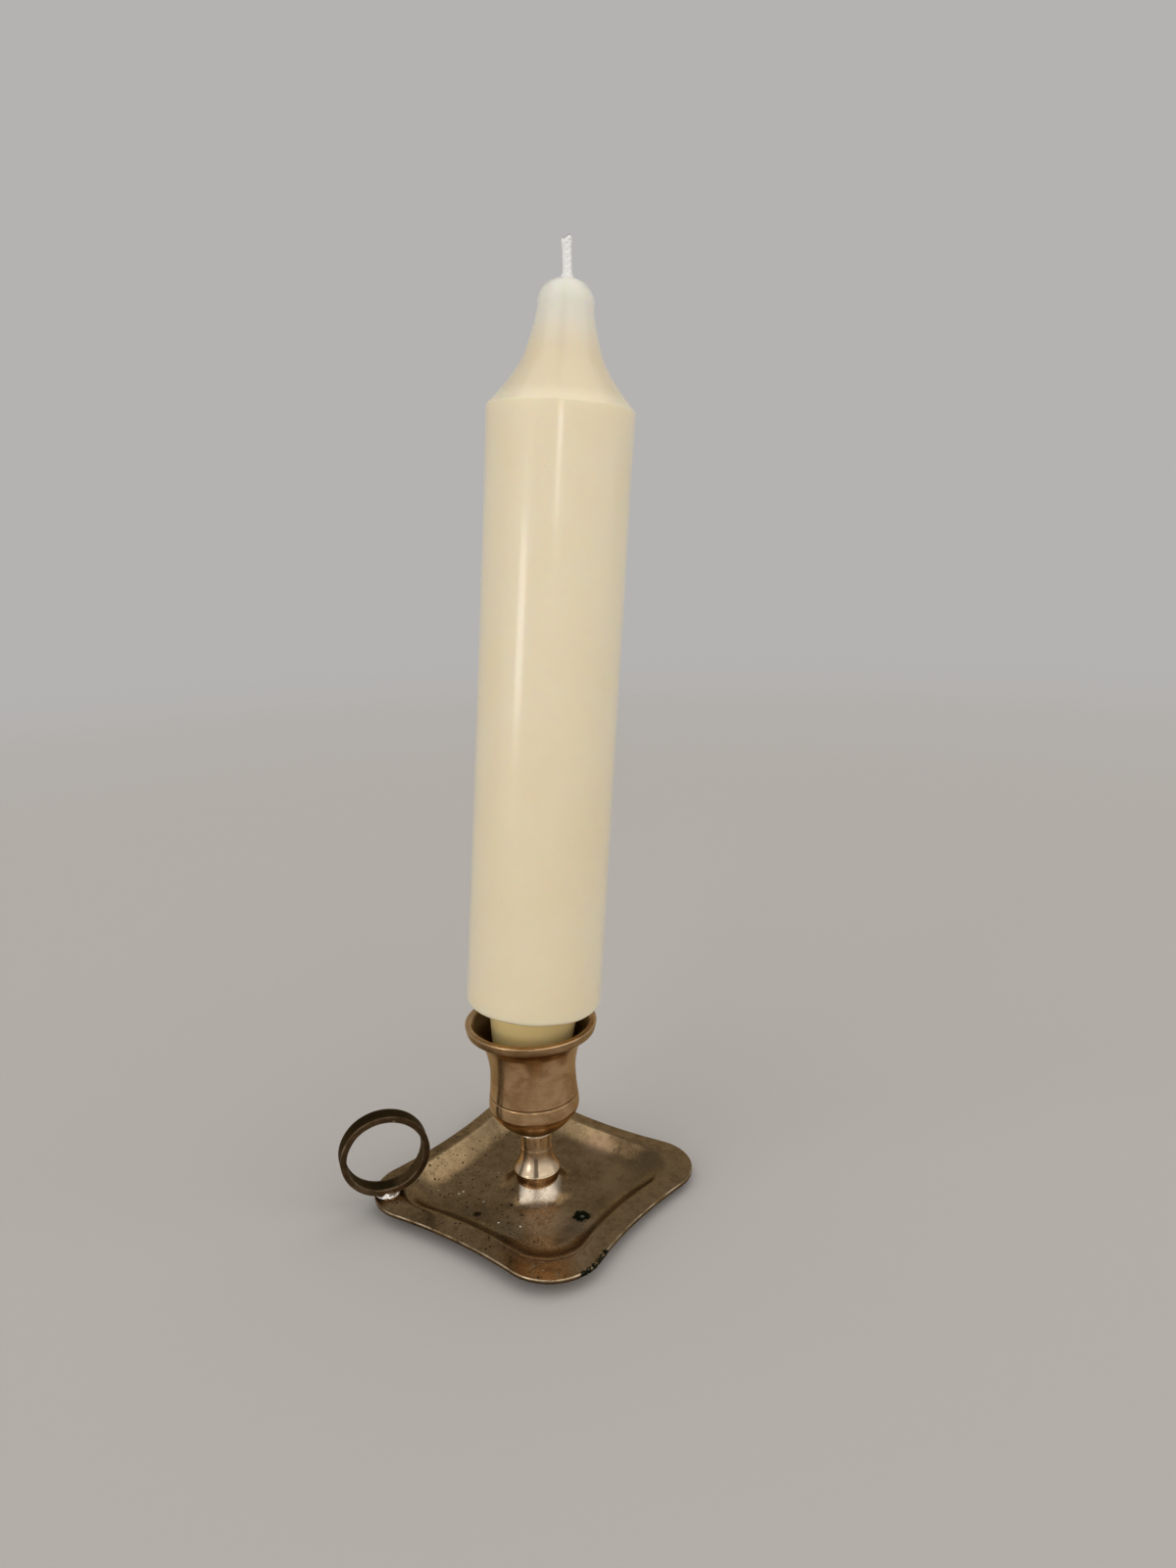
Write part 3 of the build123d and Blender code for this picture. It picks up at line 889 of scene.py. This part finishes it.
def outside_tones(radius, height):
    """A painted highlight on the bulge and a lip edge lightened by rubbing, with painted shade under the
    bowl, in the groove and about the lip.
    """
    below_lip = lip_level - height
    above_base = height - socket_level
    on_lip_edge = below_lip < 0.45 and radius > lip_radius - 0.6
    # Painted shade under the bowl, in the groove, below the lip band and on it
    painted_shade = 0.75 * falling(above_base, 3.0, 4.0)
    if abs(above_base - groove_height) < 0.05:
        painted_shade = max(painted_shade, 0.9)
    if below_lip > lip_band_height:
        painted_shade = max(painted_shade, 0.48 * falling(abs(below_lip - 4.2), 0.0, 3.4))
    elif below_lip > 0.45:
        painted_shade = max(painted_shade, 0.34)
    # Painted highlight on the bulge
    bulge_highlight = 0.3 * falling(abs(above_base - 10.0), 0.0, 2.6)
    return {"wear_and_highlight": 0.3 if on_lip_edge else bulge_highlight, "shaded": painted_shade}


def inside_tones(radius, height, steps):
    """An inner edge of the lip lightened by rubbing, and painted shade down the bore from a few steps of
    the profile inwards.
    """
    on_edge = lip_level - height < 0.2 and radius < lip_radius - lip_face_width + 0.35
    return {"wear_and_highlight": 0.3 if on_edge else 0.0, "shaded": 0.95 * rising(steps, 1.0, 3.0)}


def make_socket():
    """The cup that holds the candle."""
    outer, inner = socket_profile()
    dressing = ("holder", "turned_brass", "candle_socket", cup_brass)
    cup = turned_piece("candle_socket_dressed", outer + inner, socket_columns, stem_place, *dressing)
    rows = [outside_tones(radius, height) for radius, height in outer]
    rows += [inside_tones(radius, height, steps) for steps, (radius, height) in enumerate(inner)]
    paint(cup, [row for row in rows for _ in range(socket_columns)])


# Finger ring
def ring_section():
    """The strip's section as (radius, side, edge, dark): round corners with straight runs between."""
    far = ring_outer_radius - ring_edge_rounding
    near = ring_outer_radius - ring_metal + ring_edge_rounding
    half = ring_width / 2 - ring_edge_rounding
    centres = ((far, half), (near, half), (near, -half), (far, -half))
    corners = [arc(c, ring_edge_rounding, 90 * k, 90 * k + 90, 4) for k, c in enumerate(centres)]
    section = []
    for corner, following in zip(corners, corners[1:] + corners[:1]):
        section += [(radius, side, 0.5, 0.0) for radius, side in corner]
        last, first = corner[-1], following[0]
        dark = 0.9 if abs(first[0] - last[0]) < ring_edge_rounding else 0.0
        for k in range(1, 6):
            radius = last[0] + (first[0] - last[0]) * k / 6
            section.append((radius, last[1] + (first[1] - last[1]) * k / 6, 0.0, dark))
    return section


def ring_tones(radius, side, edge, dark, turn):
    """Rubbing with its highlight on the edges, a painted lighter band low at the front, one bright fleck,
    and a lit patch in the painted shade inside.
    """
    angle = (degrees(turn) + 180) % 360 - 180
    wear_and_highlight = edge * (0.6 + 0.8 * noise.noise(Vector((turn * 3.0, side, 1.0))))
    if side < 0 and radius < ring_outer_radius - ring_metal / 2:
        wear_and_highlight = max(wear_and_highlight, falling(abs(angle - 74.8), 0.8, 1.8))
    # Painted lighter band low on the front face, where more light falls
    if side < 0 and not dark:
        wear_and_highlight = max(wear_and_highlight, 0.3 * falling(abs(angle + 105.0), 30.0, 30.0))
    lit = 0.0
    if radius < ring_outer_radius - ring_metal + ring_edge_rounding:
        lit = rising(angle, -85.0, 20.0) * falling(angle, 5.0, 25.0)
    return {"wear_and_highlight": max(wear_and_highlight, 0.0), "shaded": dark * (1 - 0.8 * lit)}


def make_ring():
    """A strip bent round into a ring, a little uneven, standing on the rim's corner."""
    section = ring_section()
    place = Matrix.Translation(ring_centre + Vector((ring_shift, 0, ring_lift)))
    place = place @ Matrix.Rotation(radians(ring_twist), 4, "Z")
    long_share, tall_share = ring_spread_shares
    points, tones = [], []
    for radius, side, edge, dark in section:
        for turn in around(ring_columns):
            across, up = cos(turn), sin(turn)
            wobble = noise.noise(Vector((across, up, 0.4)) * 1.7) * 0.12
            spread = 1 + noise.noise(Vector((across, up, 5.0)) * 1.3) * 0.05
            reach = min(radius + wobble, ring_outer_radius)
            point = Vector((reach * long_share * across, side * spread, reach * tall_share * up))
            points.append(place @ point)
            tones.append(ring_tones(radius, side, edge, dark, turn))
    faces = grid_faces(len(section), ring_columns, True)
    dressing = ("holder", "dark_brass", "finger_ring", ring_brass)
    paint(mesh_piece("finger_ring_dressed", points, faces, *dressing), tones)


# Solder
def make_solder():
    """A low lump of solder under the ring, drawn out along it."""
    centre = Vector(((solder_low.x + solder_high.x) / 2 + solder_shift, 0, solder_low.z + ring_lift))
    size = solder_high - solder_low
    half = Vector((size.x / 2, size.y / 2, size.z)) * solder_growth
    rows, columns = 26, 72
    twist = Matrix.Rotation(radians(ring_twist), 3, "Z")
    points = []
    for i in range(rows):
        tilt = pi / 2 * i / (rows - 1)
        for turn in around(columns):
            direction = polar(cos(tilt), turn, sin(tilt))
            swell = 1 + solder_lump_share * noise.noise(direction * 2.3 + Vector((4.0, 1.0, 0.0)))
            points.append(centre + twist @ (direction * half * swell))
    faces = grid_faces(rows, columns)
    mesh_piece("ring_solder_dressed", points, faces, "holder", "solder", "ring_solder", solder)


# Candle
def candle_profile():
    """Peg, body, bell and domed top, as radius and height above the body's foot."""
    taper = (peg_top_radius - peg_tip_radius) / peg_length
    tip = peg_tip_radius - peg_tip_rounding
    profile = [(0.0, -peg_length), (tip - 0.5, -peg_length)]
    profile += arc((tip, peg_tip_rounding - peg_length), peg_tip_rounding, -90, 0, 10)
    profile += [(peg_tip_radius + taper * k * 2, -peg_length + k * 2) for k in range(1, 12)]
    profile += [(peg_top_radius - 0.05, -0.5), (peg_top_radius + 0.25, -0.1), (peg_top_radius + 0.9, 0.0)]
    foot = candle_foot_rounding
    profile += arc((candle_radius - foot, foot), foot, -90, 0, 18)
    top = candle_body_length - shoulder_rounding
    profile += [(candle_radius, foot + (top - foot) * k / 60) for k in range(1, 61)]
    profile += arc((candle_radius - shoulder_rounding, top), shoulder_rounding, 0, 42, 8)[1:]

    bell_spread = candle_radius - bell_neck_radius
    knots = [profile[-1]]
    for out, up in bell_shares:
        knots.append((bell_neck_radius + bell_spread * out, candle_body_length + bell_height * up))
    bell_top = candle_body_length + bell_height
    knots.append((bell_neck_radius, bell_top))
    for k in range(3):
        profile += hermite(knots[k], knots[k + 1], bell_slopes[k], bell_slopes[k + 1], 22)
    for k in range(1, 25):
        tilt = pi / 2 * k / 24
        radius = bell_neck_radius * cos(tilt) ** dome_top_fullness
        profile.append((radius, bell_top + dome_top_height * sin(tilt)))
    return profile


def candle_ripple(point):
    """Slight unevenness of moulded and handled wax, a little wider at the shoulder."""
    away = Vector((point.x, point.y)).length
    if point.z < 0.5 or away < 0.5:
        return point
    swell = noise.noise(Vector((point.x * 0.05, point.y * 0.05, point.z * 0.02))) * 0.12 + wax_swell
    above_shoulder = point.z - candle_body_length
    swell += shoulder_swell * rising(above_shoulder, -22.0, 20.0) * falling(above_shoulder, 1.0, 6.0)
    lift = noise.noise(Vector((point.x * 0.12, point.y * 0.12, 9.0))) * 0.35 * falling(point.z, 0.0, 9.0)
    return Vector((point.x * (1 + swell / away), point.y * (1 + swell / away), point.z + lift))


def make_candle():
    """The candle's wax."""
    dressing = ("candle_and_wick", "wax", "candle", ivory_wax)
    profile = candle_profile()
    turned_piece("candle_dressed", profile, candle_columns, candle_place, *dressing, ripple=candle_ripple)


# Wick
def tube(path, radii, sides):
    """Points and faces of a tube along a path, with closed ends."""
    points = []
    up = Vector((0.3, 0.9, 0.2))
    for i, centre in enumerate(path):
        ahead = path[min(i + 1, len(path) - 1)] - path[max(i - 1, 0)]
        ahead.normalize()
        across = ahead.cross(up).normalized()
        up = across.cross(ahead).normalized()
        for turn in around(sides):
            points.append(centre + (across * cos(turn) + up * sin(turn)) * radii[i])
    faces = grid_faces(len(path), sides)
    first, last = len(points), len(points) + 1
    points += [path[0], path[-1]]
    final = (len(path) - 1) * sides
    for j in range(sides):
        right = (j + 1) % sides
        faces.append((first, right, j))
        faces.append((last, final + j, final + right))
    return points, faces


def make_wick():
    """Braided cotton that comes out of the domed top, with a singed, frayed end."""
    random.seed(7)
    root = candle_body_length + bell_height + dome_top_height
    top = wick_show - wick_cut
    sideways = candle_place.to_3x3().inverted() @ Vector((1, 0, 0))
    points, faces, tones = [], [], []

    def grow(path, radii, sides, singed_from=None, strength=0.0, off=0.0):
        """Adds a tube, singed above a height where it lies further to the right than off."""
        new_points, new_faces = tube(path, radii, sides)
        start = len(points)
        points.extend(candle_place @ p for p in new_points)
        faces.extend(tuple(start + k for k in face) for face in new_faces)
        for p in new_points:
            burnt = singed_from is not None and p.dot(sideways) > off
            tones.append({"singed": strength * rising(p.z, singed_from, 0.3) if burnt else 0.0})

    def middle(height):
        """Middle of the wick at a height above its root. It bends to the left a little."""
        share = max(height, 0.0) / wick_show
        return Vector((0, 0, root + height)) - sideways * (wick_bend * share**1.4)

    def to_the_right(turn):
        """How far to the right a direction round the wick points."""
        return sideways.x * cos(turn) + sideways.y * sin(turn)

    # The hidden part through the candle, and the core of the part that shows
    grow([Vector((0, 0, -peg_length + 0.02)), Vector((0, 0, root - 3.0))], [wick_radius * 0.9] * 2, 24)
    grow([middle(-3.2 + (top + 2.6) * k / 24) for k in range(25)], [wick_core_radius] * 25, 20)

    # Strands braided over the core, cut off at a slant and spread at the root and the end
    steps = 150
    for strand in range(strand_count):
        way = 1 if strand % 2 else -1
        phase = tau * strand / strand_count
        cut = top + 0.5 * to_the_right(phase + way * top * strand_twist) + random.uniform(-0.15, 0.2)
        path, radii = [], []
        for i in range(steps + 1):
            height = -2.0 + (cut + 2.0) * i / steps
            turn = phase + way * height * strand_twist
            weave = 0.12 * cos(2 * (turn - phase) + strand * pi / 2)
            spread = 0.22 * rising(height, 6.5, 3.0) + 0.5 * falling(height, -0.2, 1.7)
            reach = strand_reach + weave + spread
            path.append(middle(height) + polar(reach, turn))
            radii.append(strand_radius * (1 - 0.35 * rising(height, cut - 0.5, 0.5)))
        grow(path, radii, 12, singed_from=root + cut - 0.15, strength=0.7, off=0.2)

    # Loose hairs at the cut
    for _ in range(hair_count):
        turn, reach = random.uniform(0, tau), random.uniform(0.1, 1.15)
        lean = Vector((random.uniform(-0.3, 0.3), random.uniform(-0.3, 0.3), random.uniform(0.4, 0.8)))
        base = middle(top - 0.5 + 0.45 * reach * to_the_right(turn)) + polar(reach, turn)
        path = [base + lean * (k / 5) * hair_length for k in range(6)]
        radii = [hair_radius * (1 - 0.12 * k) for k in range(6)]
        grow(path, radii, 6, singed_from=path[-1].z - 0.3, strength=1.0, off=0.25)
    wick = mesh_piece("wick_dressed", points, faces, "candle_and_wick", "cotton", "wick", cotton_yarn)
    paint(wick, tones)


make_tray()
make_stem()
make_socket()
make_ring()
make_solder()
make_candle()
make_wick()
screw = frame["nodes"]["fixing_screw"]
screw.data.materials.clear()
screw.data.materials.append(screw_brass)


# Camera, at the photograph's place. Its angles are in degrees and its place is in millimetres.
camera_place = Vector((-27.76, -288.65, 197.22))
camera_heading, camera_pitch, camera_roll = 9.195, 13.955, -1.591
sensor_width, focal_length = 36.0, 25.0


def make_camera():
    """The camera, turned to its heading, tipped down by its pitch and rolled."""
    data = bpy.data.cameras.new("camera")
    data.sensor_width, data.lens = sensor_width, focal_length
    data.clip_start, data.clip_end = 0.01, 50.0
    camera = new_object("camera", data)
    scene.camera = camera
    heading, pitch, roll = (radians(a) for a in (camera_heading, camera_pitch, camera_roll))
    level = cos(pitch)
    forward = Vector((sin(heading) * level, cos(heading) * level, -sin(pitch)))
    level_right = Vector((cos(heading), -sin(heading), 0))
    level_up = level_right.cross(forward)
    right = level_right * cos(roll) + level_up * sin(roll)
    up = level_up * cos(roll) - level_right * sin(roll)
    turned = Matrix((right, up, -forward)).transposed().to_4x4()
    camera.matrix_world = Matrix.Translation(camera_place * mm) @ turned


make_camera()

# Floor and room, in metres
floor_reach = 3.0
floor_fade = (0.45, 1.3)
floor_tone = (0.565, 0.535, 0.512, 1)
room_dim, room_bright = (0.31, 0.32, 0.32, 1), (1.14, 1.12, 1.08, 1)
ground_dim, ground_bright = (0.46, 0.45, 0.44, 1), (0.88, 0.87, 0.85, 1)
gap_tone = (0.1, 0.1, 0.1, 1)
gap_across = (0.969, -0.247, 0)


def make_floor():
    """A plain pale floor that fades into the background far from the object."""
    reach = floor_reach
    corners = [(-reach, -reach, 0), (reach, -reach, 0), (reach, reach, 0), (-reach, reach, 0)]
    mesh = bpy.data.meshes.new("floor")
    mesh.from_pydata(corners, [], [(0, 1, 2, 3)])
    material = bpy.data.materials.new("floor")
    tree = Tree(material)
    point = tree.add("TexCoord").outputs["Object"]
    away = tree.add("VectorMath", {0: point}, operation="LENGTH").outputs["Value"]
    solid = tree.remap(away, *floor_fade, 1.0, 0.0)
    pale = tree.add("BsdfDiffuse", {"Color": floor_tone}).outputs[0]
    clear = tree.add("BsdfTransparent").outputs[0]
    mixed = tree.add("MixShader", {0: solid, 1: clear, 2: pale}).outputs[0]
    tree.add("OutputMaterial", {0: mixed})
    mesh.materials.append(material)
    new_object("floor", mesh)


make_floor()


# Light
def softbox(name, place, aim, width, height, radiance):
    """A rectangular lamp of a slightly warm white at a place, facing an aim."""
    data = bpy.data.lights.new(name, "AREA")
    data.shape = "RECTANGLE"
    data.size, data.size_y = width, height
    data.color = (1.0, 0.99, 0.97)
    data.energy = radiance * pi * width * height
    lamp = new_object(name, data)
    lamp.location = place
    lamp.rotation_euler = (Vector(place) - Vector(aim)).to_track_quat("Z", "Y").to_euler()


softbox("front_glint", (-0.19, -1.585, 0.45), (0, 0, 0.21), 0.18, 0.2, 7.8)
softbox("side_glint", (-1.334, -0.893, 0.217), (0, 0, 0.17), 0.3, 0.32, 6.0)


def lit_room():
    """A pale room: bright before the object and above, with a dim gap, and dimmer high up behind."""
    world = bpy.data.worlds.new("world")
    scene.world = world
    tree = Tree(world)
    way = tree.add("TexCoord").outputs["Generated"]
    x, y, z = tree.split(way)
    ahead = tree.remap(y, 0.02, -0.12)
    above = tree.times(tree.remap(z, 0.79, 0.86), 0.85)
    beside = tree.times(tree.remap(z, 0.67, 0.75), tree.times(tree.remap(x, 0.0, 0.25), 0.6))
    bright = tree.most(tree.most(ahead, above), beside)
    high = tree.blend(bright, room_dim, room_bright)
    low = tree.blend(ahead, ground_dim, ground_bright)
    sky = tree.blend(tree.remap(z, 0.37, 0.5), low, high)

    # The gap is a narrow upright band ahead, which gives the turned brass its dark lines
    across = tree.vector("DOT_PRODUCT", way, gap_across, "Value")
    level = tree.maths("SQRT", tree.plus(1.0, tree.times(z, z), -1.0))
    off_middle = tree.maths("DIVIDE", tree.maths("ABSOLUTE", across), level)
    narrow = tree.remap(off_middle, 0.17, 0.25, 1.0, 0.0)
    gap = tree.times(tree.times(narrow, ahead), tree.remap(z, 0.12, 0.25))
    sky = tree.blend(tree.times(gap, 0.9), sky, gap_tone)
    tree.add("OutputWorld", {0: tree.add("Background", {"Color": sky}).outputs[0]})


lit_room()
scene.view_settings.view_transform = "Standard"
